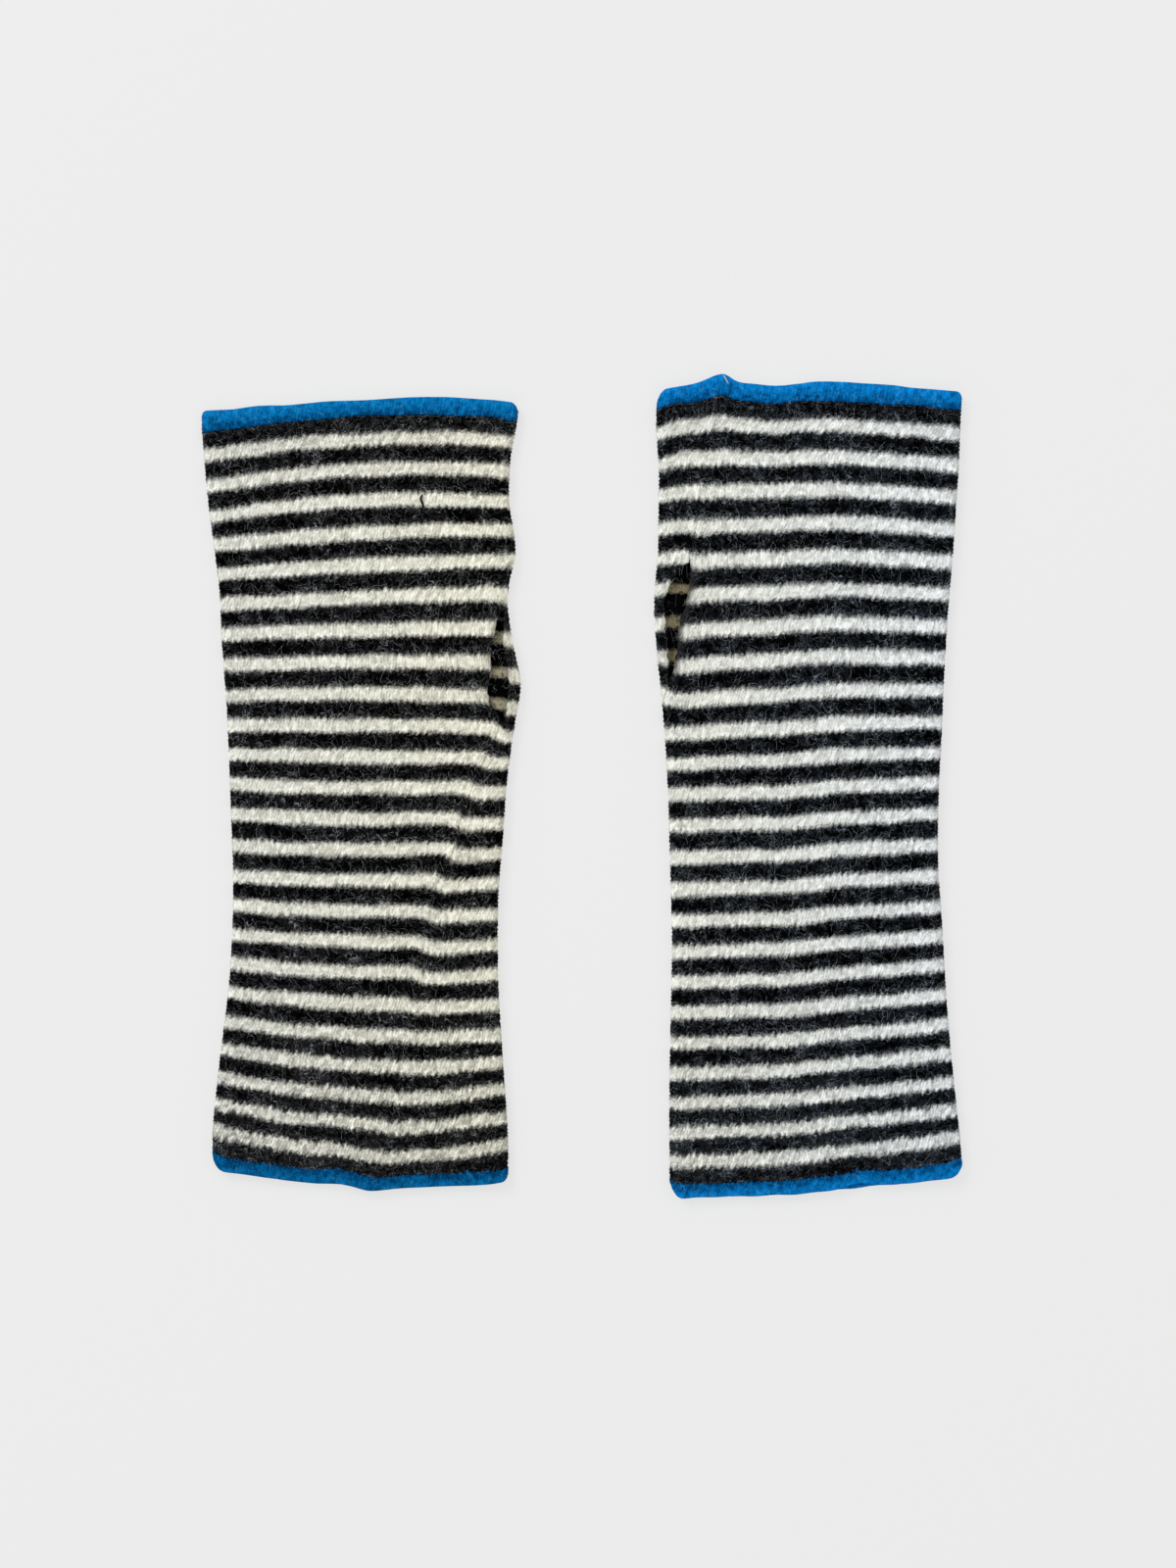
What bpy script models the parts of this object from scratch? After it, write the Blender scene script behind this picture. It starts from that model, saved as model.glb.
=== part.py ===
"""A pair of striped knitted arm warmers with open thumb slits, lying flat side by side.

Each warmer is one knitted tube pressed flat, so an upper layer lies on a lower one and the wall
turns over at two side folds. A single seam runs slantwise along the tube, because the knitting
leans, and is left open for the thumb where it crosses the inner fold. The front and back panels
meet at that seam and part again along the outer fold. A contrast band edges the tube at the
wrist and at the hand.

Frame: +X to the right, +Y from wrist to hand, +Z up. The origin is under the middle of the pair,
on the surface that both warmers lie on.
"""

import math

import bmesh
import bpy
import numpy as np

# Sizes in millimetres.
WALL = 1.6  # fulled lambswool jersey
LAYER_GAP = 0.5  # between the two layers, away from the folds
SEAM_GAP = 0.3  # between pieces that meet edge to edge
FOLD_RADIUS = 1.5  # at the middle of the wall, where the tube turns over
FOLD_ROLL = 7.0  # how far in from a fold its roundness lifts the upper layer
SEAM_RIDGE = 0.4  # height of the seam above the cloth beside it
SEAM_RIDGE_WIDTH = 2.5
CORNER_RADIUS = 2.5  # at the ends of the two edging bands
HAND_BAND = 5.6
WRIST_BAND = 4.6
STRIPE_PITCH = 10.25  # one dark stripe and one light stripe

# Mesh: how many steps each stretch of the surface is divided into.
FOLD_STEPS = 3  # a quarter turn round the outer fold
ACROSS_STEPS = 16  # from the outer fold to the seam
FOLD_DENSITY = 9.0  # steps lie this many times closer where the wall turns over
BAND_ROWS = (0.0, 0.5, 2.0)  # distances from a band's free edge, before its inner edge
SHARP_ANGLE = 50  # degrees: edges sharper than this are shaded as edges

# One row for each section across a warmer, from wrist to hand: y between its two ends, x of its
# outer fold, x of its thumb fold, how far its thumb end tilts and how far its middle bows
# towards the hand.
SECTION_COLUMNS = ("y", "outer", "thumb", "tilt", "bow")
LEFT_SECTIONS = (
    (-128.6, -122.9, -24.4, -2.6, -4.1),
    (-113.0, -122.5, -24.5, -2.6, -3.9),
    (-92.0, -120.4, -26.0, -2.3, -2.9),
    (-64.0, -117.2, -27.6, -2.1, -1.2),
    (-33.0, -116.0, -27.5, -1.6, 0.3),
    (1.0, -117.0, -25.0, -1.1, 0.5),
    (18.7, -117.7, -22.4, -0.5, 0.6),
    (34.0, -118.8, -20.2, -0.2, 0.8),
    (51.0, -119.9, -23.7, 1.1, 0.3),
    (62.5, -120.4, -24.4, 2.0, 0.3),
    (76.0, -121.9, -22.1, 2.5, 0.5),
    (96.0, -124.5, -24.1, 2.5, 2.0),
    (112.0, -125.9, -23.1, 2.6, 3.0),
    (119.0, -126.4, -21.8, 2.2, 2.8),
    (125.9, -126.4, -21.1, 1.6, 2.3),
)
RIGHT_SECTIONS = (
    (-133.1, 126.6, 28.9, -3.6, -1.5),
    (-116.0, 125.5, 28.8, -2.9, -2.2),
    (-97.0, 123.5, 28.8, -3.3, -1.9),
    (-74.0, 121.4, 29.3, -3.2, -1.5),
    (-48.0, 119.8, 29.6, -2.7, -0.8),
    (-22.0, 118.3, 28.9, -2.2, -0.3),
    (-2.0, 118.6, 28.3, -2.1, -0.4),
    (19.0, 119.6, 27.0, -2.4, 0.8),
    (37.0, 120.4, 25.0, -1.8, 1.6),
    (57.0, 121.6, 23.7, -0.9, 2.3),
    (76.0, 123.2, 25.0, -0.3, 2.4),
    (92.0, 124.3, 25.2, 0.3, 2.3),
    (108.0, 125.3, 25.2, 0.7, 2.2),
    (121.0, 125.8, 24.4, 0.7, 2.3),
    (131.5, 126.3, 24.7, 0.7, 2.6),
)

# One row for each place along the seam, from wrist to hand: y, then how far round the tube the
# front panel and the back panel end, from the middle of the thumb fold. Negative is on the upper
# layer, positive on the lower one. The two differ only along the thumb slit.
SEAM_COLUMNS = ("y", "front", "back")
LEFT_SEAM = (
    (-130.0, -46.0, -46.0),
    (18.7, -5.2, -5.2),
    (24.5, -4.6, -4.6),
    (27.0, -9.2, -4.3),
    (33.5, -10.9, -4.1),
    (39.6, -9.3, -3.4),
    (45.0, -7.8, -3.0),
    (51.0, -5.5, -2.2),
    (55.0, -3.2, -1.4),
    (58.0, -0.6, -0.6),
    (127.0, 16.0, 16.0),
)
RIGHT_SEAM = (
    (-135.0, 40.0, 40.0),
    (25.5, 0.0, 0.0),
    (37.1, -3.4, -3.4),
    (44.0, -6.2, -3.8),
    (49.0, -7.9, -3.7),
    (54.0, -9.5, -3.8),
    (59.0, -10.6, -3.8),
    (64.5, -11.5, -3.9),
    (68.6, -11.6, -6.0),
    (72.4, -11.2, -8.4),
    (76.2, -10.8, -10.8),
    (134.0, -23.1, -23.1),
)

# Stretches of the tube from the wrist, as (end y, rows of the mesh): closer where the seam goes
# round the thumb fold and along the slit. The seam draws the hem out into a small point where it
# meets it on the upper layer.
WARMERS = {
    "left": {
        "sections": LEFT_SECTIONS,
        "seam": LEFT_SEAM,
        "stretches": ((24.5, 13), (58.0, 9), (70.0, 3), ("hand", 4)),
        "point": {"y": -128.6, "reach": -2.1, "spread": 9.0, "fade": 16.0},
    },
    "right": {
        "sections": RIGHT_SECTIONS,
        "seam": RIGHT_SEAM,
        "stretches": ((14.0, 11), (37.1, 6), (76.2, 9), ("hand", 4)),
        "point": {"y": 131.5, "reach": 3.0, "spread": 6.0, "fade": 9.0},
    },
}

FINISHES = {
    "striped_wool": {"dark": (0.014, 0.014, 0.017), "light": (0.62, 0.59, 0.50), "roughness": 0.95},
    "blue_edging": {"dark": (0.004, 0.115, 0.36), "light": (0.004, 0.115, 0.36), "roughness": 0.9},
}


def smooth_through(rows, column, at):
    """The value of a column at height at, on a smooth curve through the rows."""
    y = np.array([row[0] for row in rows])
    value = np.array([row[column] for row in rows])
    slope = np.gradient(value, y)
    at = np.clip(at, y[0], y[-1])
    i = np.clip(np.searchsorted(y, at, side="right") - 1, 0, len(y) - 2)
    step = y[i + 1] - y[i]
    t = (at - y[i]) / step
    rise = t * t * (3 - 2 * t)
    return (
        value[i] * (1 - rise)
        + value[i + 1] * rise
        + step * slope[i] * t * (1 - t) ** 2
        - step * slope[i + 1] * t * t * (1 - t)
    )


def section_at(warmer, y):
    """The named measures of the section across a warmer at height y."""
    rows = warmer["sections"]
    section = {
        name: float(smooth_through(rows, column, y))
        for column, name in enumerate(SECTION_COLUMNS)
    }
    seam = np.array(warmer["seam"])
    for column, name in enumerate(SEAM_COLUMNS[1:], start=1):
        section[name] = float(np.interp(y, seam[:, 0], seam[:, column]))
    section["y"] = y
    from_hem = min(y - rows[0][0], rows[-1][0] - y)
    if from_hem < CORNER_RADIUS:
        left = CORNER_RADIUS - max(from_hem, 0.0)
        inset = CORNER_RADIUS - math.sqrt(CORNER_RADIUS**2 - left**2)
        inwards = math.copysign(inset, section["thumb"] - section["outer"])
        section["outer"] += inwards
        section["thumb"] -= inwards
    return section


def loop_sizes(section):
    """(a quarter turn, the flat stretch, half the way round) along the middle of the wall."""
    quarter = FOLD_RADIUS * math.pi / 2
    flat = abs(section["thumb"] - section["outer"]) - 2 * FOLD_RADIUS - WALL
    return quarter, flat, flat + 2 * quarter


def round_the_tube(section, around):
    """Where the middle of the wall is, around millimetres from the middle of the thumb fold.

    Gives its distance from the outer edge, its height above the layers' parting plane, and the
    turn of its outward side: 0 straight out at the thumb fold, a quarter turn on a flat stretch,
    half a turn at the outer fold. Negative around is the upper layer, which sinks onto the lower
    one away from the folds and is raised along the seam."""
    quarter, flat, half = loop_sizes(section)
    away = min(abs(around), half)
    from_fold = max(0.0, min(away - quarter, quarter + flat - away))
    if away < quarter:
        turn = away / FOLD_RADIUS
    elif away <= quarter + flat:
        turn = math.pi / 2
    else:
        turn = math.pi - (half - away) / FOLD_RADIUS
    stretch = flat if away > quarter + flat else max(0.0, away - quarter)
    inwards = WALL / 2 + stretch + FOLD_RADIUS * (1 - math.cos(turn))
    height = FOLD_RADIUS * math.sin(turn)
    if around < 0:
        slack = 2 * FOLD_RADIUS - WALL - LAYER_GAP
        sink = slack * (1 - math.exp(-((from_fold / FOLD_ROLL) ** 2)))
        from_seam = max(0.0, section["front"] - around, around - section["back"])
        ridge = SEAM_RIDGE * math.exp(-((from_seam / SEAM_RIDGE_WIDTH) ** 2))
        height += ridge * min(1.0, from_fold / quarter) - sink
    width = flat + 2 * FOLD_RADIUS + WALL
    return width - inwards, height, turn


def place(warmer, section, around, layer):
    """A point of the wall in the part's frame, in metres: layer is 1 outside and -1 inside."""
    width = abs(section["thumb"] - section["outer"])
    from_outer, height, turn = round_the_tube(section, around)
    across = 2 * from_outer / width - 1
    y = section["y"] + section["tilt"] * across + section["bow"] * (1 - across**2)
    point = warmer["point"]
    if around < 0 and section["front"] < 0:
        near_seam = math.exp(-(((around - section["front"]) / point["spread"]) ** 2))
        near_hem = math.exp(-abs(section["y"] - point["y"]) / point["fade"])
        y += point["reach"] * near_seam * near_hem
    from_outer += layer * WALL / 2 * math.cos(turn)
    height += layer * WALL / 2 * math.sin(turn)
    towards_thumb = math.copysign(1.0, section["thumb"] - section["outer"])
    x = section["outer"] + towards_thumb * from_outer
    z = WALL / 2 + FOLD_RADIUS + (height if around < 0 else -height)
    return x / 1000, y / 1000, z / 1000


def spaced(start, stop, quarter, steps):
    """Places from start to stop, evenly spaced but closer where the wall turns over."""
    corners = np.unique(np.clip([start, -quarter, quarter, stop], min(start, stop), max(start, stop)))
    middles = (corners[1:] + corners[:-1]) / 2
    weight = np.where(np.abs(middles) < quarter, FOLD_DENSITY, 1.0)
    count = np.concatenate([[0], np.cumsum(np.diff(corners) * weight)])
    wanted = np.linspace(0, count[-1], steps + 1)
    places = np.interp(wanted, count, corners)
    return places if start < stop else places[::-1]


def places_round(section, panel):
    """The places round the tube of a panel's columns, from the outer fold to the seam."""
    quarter, _, half = loop_sizes(section)
    side = -1 if panel == "front" else 1
    first = side * (half - SEAM_GAP / 2)
    turned = side * (half - quarter)
    last = section[panel] + side * SEAM_GAP / 2
    fold = np.linspace(first, turned, FOLD_STEPS + 1)
    return np.concatenate([fold, spaced(turned, last, quarter, ACROSS_STEPS)[1:]])


def heights(warmer):
    """The y of the rows of the wrist band, the panel and the hand band."""
    wrist, hand = warmer["sections"][0][0], warmer["sections"][-1][0]
    first = wrist + WRIST_BAND + SEAM_GAP / 2
    last = hand - HAND_BAND - SEAM_GAP / 2
    panel = [first]
    for end, steps in warmer["stretches"]:
        end = last if end == "hand" else end
        panel += list(np.linspace(panel[-1], end, steps + 1)[1:])
    wrist_band = [wrist + row for row in BAND_ROWS] + [first - SEAM_GAP]
    hand_band = [last + SEAM_GAP] + [hand - row for row in reversed(BAND_ROWS)]
    return {"wrist_band": wrist_band, "panel": panel, "hand_band": hand_band}


def make_wall(name, warmer, panel, rows, material, collection):
    """One piece of cloth: a grid drawn out into a slab, then wrapped round its part of the tube."""
    columns = FOLD_STEPS + ACROSS_STEPS
    mesh = bpy.data.meshes.new(name)
    wall = bmesh.new()
    uv = wall.loops.layers.uv.new("stripes")
    bmesh.ops.create_grid(wall, x_segments=columns, y_segments=len(rows) - 1, size=0.5)
    drawn_out = bmesh.ops.extrude_face_region(wall, geom=wall.faces[:])["geom"]
    for vertex in drawn_out:
        if isinstance(vertex, bmesh.types.BMVert):
            vertex.co.z = 1
    sections = [section_at(warmer, y) for y in rows]
    around = [places_round(section, panel) for section in sections]
    for vertex in wall.verts:
        column = round((vertex.co.x + 0.5) * columns)
        row = round((vertex.co.y + 0.5) * (len(rows) - 1))
        layer = 1 if vertex.co.z > 0 else -1
        for loop in vertex.link_loops:
            loop[uv].uv = (around[row][column] / STRIPE_PITCH, rows[row] / STRIPE_PITCH)
        vertex.co = place(warmer, sections[row], around[row][column], layer)
    if wall.calc_volume(signed=True) < 0:
        bmesh.ops.reverse_faces(wall, faces=wall.faces[:])
    wall.to_mesh(mesh)
    wall.free()
    mesh.materials.append(material)
    mesh.shade_smooth()
    mesh.set_sharp_from_angle(angle=math.radians(SHARP_ANGLE))
    collection.objects.link(bpy.data.objects.new(name, mesh))


def make_material(name, finish):
    """Wool in level stripes: the texture's v counts stripe pairs along the tube."""
    material = bpy.data.materials.new(name)
    material.use_nodes = True
    nodes, links = material.node_tree.nodes, material.node_tree.links
    shader = nodes["Principled BSDF"]
    shader.inputs["Roughness"].default_value = finish["roughness"]
    shader.inputs["Metallic"].default_value = 0.0
    coordinates = nodes.new("ShaderNodeUVMap")
    split = nodes.new("ShaderNodeSeparateXYZ")
    links.new(coordinates.outputs["UV"], split.inputs["Vector"])
    within_pair = nodes.new("ShaderNodeMath")
    within_pair.operation = "FLOORED_MODULO"
    within_pair.inputs[1].default_value = 1.0
    links.new(split.outputs["Y"], within_pair.inputs[0])
    colour = nodes.new("ShaderNodeValToRGB")
    colour.color_ramp.interpolation = "CONSTANT"
    colour.color_ramp.elements[0].color = (*finish["dark"], 1)
    colour.color_ramp.elements[1].position = 0.5
    colour.color_ramp.elements[1].color = (*finish["light"], 1)
    links.new(within_pair.outputs[0], colour.inputs["Fac"])
    links.new(colour.outputs["Color"], shader.inputs["Base Color"])
    return material


def main():
    for old in list(bpy.data.objects):
        bpy.data.objects.remove(old)
    collection = bpy.data.collections.new("arm_warmers")
    bpy.context.scene.collection.children.link(collection)
    materials = {name: make_material(name, finish) for name, finish in FINISHES.items()}
    for side, warmer in WARMERS.items():
        rows = heights(warmer)
        for panel in ("front", "back"):
            make_wall(f"{side}_{panel}", warmer, panel, rows["panel"], materials["striped_wool"], collection)
            for band in ("wrist_band", "hand_band"):
                name = f"{side}_{band}_{panel}"
                make_wall(name, warmer, panel, rows[band], materials["blue_edging"], collection)


main()
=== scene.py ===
# A pair of striped lambswool arm warmers with blue edging, lying flat on a pale table.
# Each one is a knitted tube pressed flat: an upper layer on a lower one, joined by one slanting
# seam that is left open for the thumb. Sizes are in millimetres until a mesh is made.

import math
from functools import partial

import bpy
import numpy as np
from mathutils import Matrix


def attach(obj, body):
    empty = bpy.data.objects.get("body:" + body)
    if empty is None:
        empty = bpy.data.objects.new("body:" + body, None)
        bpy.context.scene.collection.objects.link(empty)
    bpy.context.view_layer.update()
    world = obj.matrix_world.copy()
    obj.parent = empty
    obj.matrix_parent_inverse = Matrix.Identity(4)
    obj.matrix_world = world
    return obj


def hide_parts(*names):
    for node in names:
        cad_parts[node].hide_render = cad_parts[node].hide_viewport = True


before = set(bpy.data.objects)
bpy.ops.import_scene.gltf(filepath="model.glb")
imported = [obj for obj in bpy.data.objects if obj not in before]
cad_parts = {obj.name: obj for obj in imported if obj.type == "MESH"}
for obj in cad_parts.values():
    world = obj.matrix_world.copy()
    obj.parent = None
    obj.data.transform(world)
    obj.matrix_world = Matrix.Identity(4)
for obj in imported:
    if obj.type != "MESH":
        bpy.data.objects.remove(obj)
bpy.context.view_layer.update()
print("frame loaded")

mm = 0.001

knit = {
    "wales": 92,  # stitches round a tube
    "courses": 196,  # rows of stitches between the two edgings
    "stripe": 4,  # courses in a stripe
    "courseHeight": 1.27,
    "wall": 1.6,
    "layerGap": 0.5,
    "foldRadius": 1.5,  # at the middle of the wall
    "foldRoll": 7.0,  # how far in from a fold its roundness lifts the upper layer
    "legsReach": 0.35,  # how far a stitch's two legs rise above its point, in courses
    "rowDepth": 0.34,  # groove between one course and the next
    "waleDepth": 0.28,  # valley between the legs
    "unevenness": 0.3,  # share by which stitches differ in depth
    "columnsPerWale": 4,
    "rowsPerCourse": 2,
    "innerStep": 8,  # the plain inner side keeps one column in this many
    "seamRidge": 0.4,
    "seamRidgeWidth": 2.5,
    "seamSink": 0.1,  # dip of the closed seam
    "slitGap": 2.0,  # where the seam's sides are this far apart, it counts as open
    "lipRound": 0.74,  # rounding of the open edges of the slit
    "lipWidth": 0.8,
    "lipRagged": 0.3,  # how far its lips waver
    "lipWave": 6,  # and the longest of their waves
    "lipShadeWidth": 1.6,  # how far from a lip its wool is in shade
    "lipPull": 24.0,  # how far from the slit the cloth gives way to it
    "jogWidth": 1.5,  # courses step over the closed seam within this distance
    "wander": 0.25,  # how far courses stray from their line
    "wanderWave": 45,
    "wanderTurn": 2.5,  # their waves are so many times shorter along the tube than round it
    "swell": 0.28,  # soft unevenness of the upper layer
    "swellWave": 60,
}

# Course lines from wrist to hand: number of the course, y between its ends, tilt of its thumb
# end, bow of its middle. Outlines: y, x of the outer fold, x of the thumb fold. Seams: y and
# the seam's place round the tube from the thumb fold (negative is on the upper layer), and then
# where the front and the back end, if it is open. Jogs: y, how much lower the back's courses lie.
# Pulls, where the cloth is drawn up or down: y, place round the tube, height, how far it spreads
# below and above that place, and how soon it fades along the tube. Corners: the radius of each.
# Lip shade: how dark the wool is where it rolls into the slit.
leftWarmer = {
    "side": "left",
    "lines": (
        (-3.7, -129.1, -2.1, -3.6), (0, -124.3, -2.5, -4), (6, -115.7, -2.2, -5.8),
        (14, -106.5, -1.6, -5), (22, -97.5, -1.6, -4.6), (38, -79.8, -2.1, -2.6),
        (54, -59.2, -0.9, -2.3), (70, -40, -0.7, -1.2), (86, -19.2, 0.1, -1.6),
        (94, -9.2, -0.2, -1.4), (110, 10.3, -0.4, -0.3), (126, 29.8, -0.3, 1),
        (142, 51.6, 1.2, 0.4), (158, 72.8, 2.5, 0.7), (174, 91.9, 2.5, 2.9),
        (190, 112.1, 2.5, 3.1), (196, 119.6, 2.3, 3), (200.6, 125.9, 1.6, 2.3),
    ),
    "outline": (
        (-128.6, -122.9, -24.4), (-113, -122.7, -24.5), (-92, -120.6, -26),
        (-64, -117.3, -27.6), (-33, -116, -27.5), (-13, -116.6, -26), (1, -117.1, -25),
        (18.7, -117.8, -22.9), (28, -118.3, -21.5), (37.5, -119, -20.2), (48.5, -119.8, -22.1),
        (55, -120.1, -23.4), (62.5, -120.4, -24.4), (68, -120.9, -24), (76, -121.9, -22.1),
        (96, -124.5, -24.1), (112, -125.9, -23.1), (119, -126.4, -21.8), (125.9, -126.4, -21.1),
    ),
    "seam": (
        (-130, -46), (-64, -27.4), (-54, -25.6), (-42, -23), (-30, -20.8), (-20, -16.4),
        (-8, -14.6), (18.7, -5.2), (23.8, -4.4, -4.6, -4.6), (25.2, -4.1, -6.7, -4.2),
        (27.5, -3.8, -9.4, -3.7), (33.3, -3.2, -10.7, -4.4), (40.7, -2.4, -9.6, -4.1),
        (45, -1.9, -8.7, -3.7), (49.6, -1.4, -6.5, -3.6), (52, -1.2, -5.6, -3),
        (55, -0.9, -4.4, -2.6), (59.6, -0.6), (127, 16),
    ),
    "jog": (
        (-130, 0), (-115, 0.9), (-106, 1.7), (-97, 1.3), (-88, 0.4), (-78, 0.5), (-68, 1.2),
        (-59, 2.6), (-40, 1.9), (-30, 2.1), (-19, 3.3), (-9, 2.8), (1, 1.9), (10, 1.9),
        (20, 3.4), (33, 3.9), (45, 4.4), (51, 3.8), (58, 2.4), (74, 0),
    ),
    "pulls": (
        (-128.6, -46, -1.6, 5, 8.5, 14), (-120, -95, -1.2, 3.5, 3.5, 3.5),
        (-120, -58, 1, 6, 5, 10), (-108, -41, -0.8, 5, 6, 7), (-122, 0, 1.2, 4, 4, 5),
        (62, 0, -1.3, 4, 4, 5), (49, 7, -0.7, 4.5, 10, 4), (33, 7, 1.5, 4.5, 10, 9),
        (125.9, -24, 0.6, 22, 14, 4), (125.9, -84, -0.5, 16, 16, 6), (119, -2.4, -1.1, 4, 4, 6),
    ),
    "corners": {"handOuter": 1.0, "handThumb": 2.6, "wristOuter": 5.0, "wristThumb": 2.0},
    "lipShade": {"front": 0.35, "back": 0.3},
    "seed": 7,
}
rightWarmer = {
    "side": "right",
    "lines": (
        (-4.1, -133.1, -3.6, -1.5), (0, -128, -3.9, -1.9), (6, -120.4, -4, -1.8),
        (22, -101.5, -3.6, -1.4), (38, -81.8, -3.2, -1.5), (54, -62, -3, -1),
        (70, -42.2, -2.6, -0.6), (86, -21.3, -2.3, -0.6), (102, -0.6, -2.1, -0.3),
        (118, 19.3, -2.2, 0.8), (134, 40.7, -1.8, 1.9), (150, 62.8, -0.8, 2.2),
        (166, 84.9, -0.2, 2.5), (182, 107, 0.6, 2.3), (196, 125.6, 0.9, 2.3),
        (200.6, 131.5, 0.7, 2.6),
    ),
    "outline": (
        (-133.1, 126.6, 28.9), (-116, 125.5, 28.8), (-97, 123.5, 28.8), (-74, 121.4, 29.3),
        (-48, 119.8, 29.6), (-22, 118.3, 28.9), (-2, 118.6, 28.3), (19, 119.6, 27),
        (37, 120.4, 25), (57, 121.6, 23.7), (76, 123.2, 25), (92, 124.3, 25.2),
        (108, 125.3, 25.2), (121, 125.8, 24.4), (131.5, 126.3, 24.7),
    ),
    "seam": (
        (-135, 40), (25.5, 0), (33.5, -3), (37.1, -3.6, -4.6, -3.5), (44, -4.6, -6.8, -3.8),
        (49, -5.5, -7.6, -3.7), (54, -6.3, -8.5, -3.8), (59, -7.2, -10.2, -3.8),
        (64.5, -8.6, -11.5, -6), (68.6, -9.8, -11.6, -8.4), (72.4, -10.9, -11.2, -10.8),
        (76.2, -10.8), (87, -13.6), (107, -14.6), (124, -22.6), (134, -23.1),
    ),
    "jog": (
        (18, 0), (25.5, -0.8), (37.1, -3), (45, -3.4), (64.5, -3.2), (72.4, -2.4), (78, -1.5),
        (87, -1), (107, -0.4), (124, 0),
    ),
    "pulls": (
        (-133.1, -64, 1.6, 6, 6, 8), (-133.1, 0, 1, 2.5, 2.5, 4), (-127, -97, 1.1, 4, 4, 5),
        (131.5, -21.9, 3.2, 3.8, 6.5, 12), (131.5, -40, -1.6, 7, 7, 12),
        (131.5, 40, -1, 8, 8, 12), (122, 0, -1.3, 4, 4, 5), (112, 0, -1.9, 5, 5, 12),
        (33, 0, 1.9, 4, 4, 8), (66, 10, -1.3, 5, 10, 5), (-20, -37.5, -0.6, 8, 8, 150),
        (-20, -59.6, 0.5, 9, 9, 150),
    ),
    "corners": {"handOuter": 1.6, "handThumb": 4.0, "wristOuter": 4.2, "wristThumb": 5.0},
    "lipShade": {"front": 0.95, "back": 0.2},
    "seed": 11,
}


# ---- the flattened tube as a function of course and distance round ----


def smoothThrough(rows, column, at):
    # A cubic between each two rows of the table, whose slopes are those of the rows either side.
    x = np.array([row[0] for row in rows])
    value = np.array([row[column] for row in rows])
    slope = np.gradient(value, x)
    at = np.clip(at, x[0], x[-1])
    i = np.clip(np.searchsorted(x, at, side="right") - 1, 0, len(x) - 2)
    step = x[i + 1] - x[i]
    t = (at - x[i]) / step
    rise = t * t * (3 - 2 * t)
    bend = step * (slope[i] * t * (1 - t) ** 2 - slope[i + 1] * t * t * (1 - t))
    return value[i] * (1 - rise) + value[i + 1] * rise + bend


def sectionAt(warmer, course):
    # Everything about the tube at each course: its line, its two folds, its seam, and the length
    # of a quarter turn, of the flat stretch and of half the way round.
    y, tilt, bow = (smoothThrough(warmer["lines"], i, course) for i in (1, 2, 3))
    outer = smoothThrough(warmer["outline"], 1, y - tilt)
    thumb = smoothThrough(warmer["outline"], 2, y + tilt)
    seam = np.array([(*row, *row[-1:] * (4 - len(row))) for row in warmer["seam"]])
    nominal, front, back = (np.interp(y, seam[:, 0], seam[:, i]) for i in (1, 2, 3))
    jog = np.array(warmer["jog"])
    opened = np.clip((back - front) / knit["slitGap"], 0, 1)
    lipWaves = [softWaves(y, 0, warmer["seed"] + i, knit["lipWave"], 5) for i in (30, 31)]
    front = front + knit["lipRagged"] * opened * lipWaves[0]
    back = back + knit["lipRagged"] * opened * lipWaves[1]
    quarter = knit["foldRadius"] * math.pi / 2
    flat = np.abs(thumb - outer) - 2 * knit["foldRadius"] - knit["wall"]
    section = {"course": course, "y": y, "tilt": tilt, "bow": bow, "outer": outer}
    section |= {"front": front, "back": back, "nominal": nominal, "open": opened}
    section |= {"quarter": quarter, "flat": flat, "half": flat + 2 * quarter}
    section["jog"] = np.interp(y, jog[:, 0], jog[:, 1])
    section["towardsThumb"] = np.sign(thumb - outer)
    return section


def softWaves(a, b, seed, longest, count=7, shorter=0.78):
    # A sum of sine waves in turned directions, each a little shorter than the one before, in -1..1.
    turns = np.random.default_rng(seed).uniform(0, 2 * math.pi, (count, 2))
    total = 0.0
    for i in range(count):
        length = longest * shorter**i
        along = a * math.cos(turns[i, 0]) + b * math.sin(turns[i, 0])
        total = total + np.sin(2 * math.pi * along / length + turns[i, 1]) / count**0.5
    return np.clip(total, -1, 1)


def courseShift(warmer, section, around, backSide):
    # Up or down from the plain course line: the back's courses lie lower beside the seam, as much
    # as the seam's jog, and less and less farther round. Over the closed seam both sides bend to
    # meet halfway. Each pull is a bell round the tube that dies away along it.
    edge = np.where(backSide, section["back"], section["front"])
    fromSeam = np.abs(around - edge)
    share = np.clip(1 - fromSeam / (section["half"] - section["back"]), 0, 1)
    share = share**2 * (3 - 2 * share)
    meet = 0.5 * (1 - section["open"]) * np.exp(-fromSeam / knit["jogWidth"])
    shift = -section["jog"] * np.where(backSide, share - meet, meet)
    for y, place, height, below, above, fade in warmer["pulls"]:
        bell = np.exp(-(((around - place) / np.where(around < place, below, above)) ** 2))
        shift = shift + height * bell * np.exp(-np.abs(section["y"] - y) / fade)
    along = knit["wanderTurn"] * section["y"]
    wander = softWaves(around, along, warmer["seed"] + 1, knit["wanderWave"])
    return shift + knit["wander"] * wander


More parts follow.
